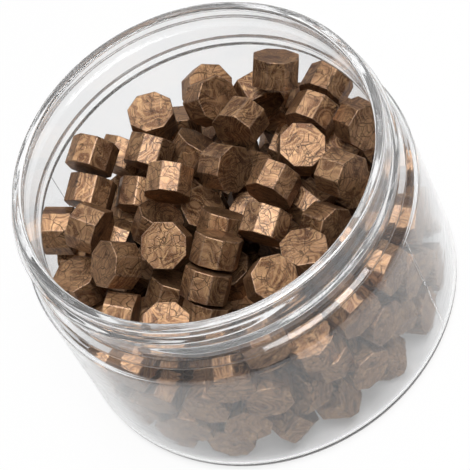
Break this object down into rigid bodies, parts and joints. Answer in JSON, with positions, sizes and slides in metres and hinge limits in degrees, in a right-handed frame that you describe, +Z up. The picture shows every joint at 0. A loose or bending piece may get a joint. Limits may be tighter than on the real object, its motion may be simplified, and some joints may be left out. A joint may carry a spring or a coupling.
{
  "type": "jar of sealing wax beads",
  "caption": "Low wide-mouth clear plastic jar with a screw neck, filled with loose octagonal sealing-wax beads that lift out through the mouth.",
  "frame": {"origin": "middle of the jar's base, on the plane it stands on", "axes": "+Z up along the jar's axis, -Y toward the side the picture looks from"},
  "size_m": [0.0782, 0.0782, 0.0515],
  "materials": {
    "clear_plastic": "clear moulded plastic, polished neck, slightly hazy body",
    "wax": "pearly bronze sealing wax, satin"
  },
  "bodies": {
    "jar": {"jar": "clear_plastic", "bead_bed": "wax", "bead_01": "wax", "bead_02": "wax", "bead_03": "wax", "bead_04": "wax", "bead_05": "wax", "bead_06": "wax", "bead_08": "wax", "bead_09": "wax", "bead_13": "wax", "bead_14": "wax", "bead_15": "wax", "bead_16": "wax", "bead_17": "wax", "bead_18": "wax", "bead_21": "wax", "bead_22": "wax", "bead_23": "wax", "bead_24": "wax", "bead_25": "wax", "bead_26": "wax", "bead_27": "wax", "bead_28": "wax", "bead_30": "wax", "bead_31": "wax", "bead_32": "wax", "bead_33": "wax", "bead_35": "wax", "bead_36": "wax", "bead_37": "wax", "bead_38": "wax", "bead_39": "wax"},
    "bead_07": {"bead_07": "wax"},
    "bead_10": {"bead_10": "wax"},
    "bead_11": {"bead_11": "wax"},
    "bead_12": {"bead_12": "wax"},
    "bead_19": {"bead_19": "wax"},
    "bead_20": {"bead_20": "wax"},
    "bead_29": {"bead_29": "wax"},
    "bead_34": {"bead_34": "wax"},
    "bead_40": {"bead_40": "wax"},
    "bead_41": {"bead_41": "wax"},
    "bead_42": {"bead_42": "wax"},
    "bead_43": {"bead_43": "wax"}
  },
  "joints": [
    {"name": "bead_07_lift", "type": "slide", "parent": "jar", "child": "bead_07", "axis": [0, 0, 1], "range_m": [0, 0.026]},
    {"name": "bead_10_lift", "type": "slide", "parent": "jar", "child": "bead_10", "axis": [0, 0, 1], "range_m": [0, 0.026]},
    {"name": "bead_11_lift", "type": "slide", "parent": "jar", "child": "bead_11", "axis": [0, 0, 1], "range_m": [0, 0.026]},
    {"name": "bead_12_lift", "type": "slide", "parent": "jar", "child": "bead_12", "axis": [0, 0, 1], "range_m": [0, 0.026]},
    {"name": "bead_19_lift", "type": "slide", "parent": "jar", "child": "bead_19", "axis": [0, 0, 1], "range_m": [0, 0.026]},
    {"name": "bead_20_lift", "type": "slide", "parent": "jar", "child": "bead_20", "axis": [0, 0, 1], "range_m": [0, 0.026]},
    {"name": "bead_29_lift", "type": "slide", "parent": "jar", "child": "bead_29", "axis": [0, 0, 1], "range_m": [0, 0.026]},
    {"name": "bead_34_lift", "type": "slide", "parent": "jar", "child": "bead_34", "axis": [0, 0, 1], "range_m": [0, 0.026]},
    {"name": "bead_40_lift", "type": "slide", "parent": "jar", "child": "bead_40", "axis": [0, 0, 1], "range_m": [0, 0.026]},
    {"name": "bead_41_lift", "type": "slide", "parent": "jar", "child": "bead_41", "axis": [0, 0, 1], "range_m": [0, 0.026]},
    {"name": "bead_42_lift", "type": "slide", "parent": "jar", "child": "bead_42", "axis": [0, 0, 1], "range_m": [0, 0.026]},
    {"name": "bead_43_lift", "type": "slide", "parent": "jar", "child": "bead_43", "axis": [0, 0, 1], "range_m": [0, 0.026]}
  ]
}
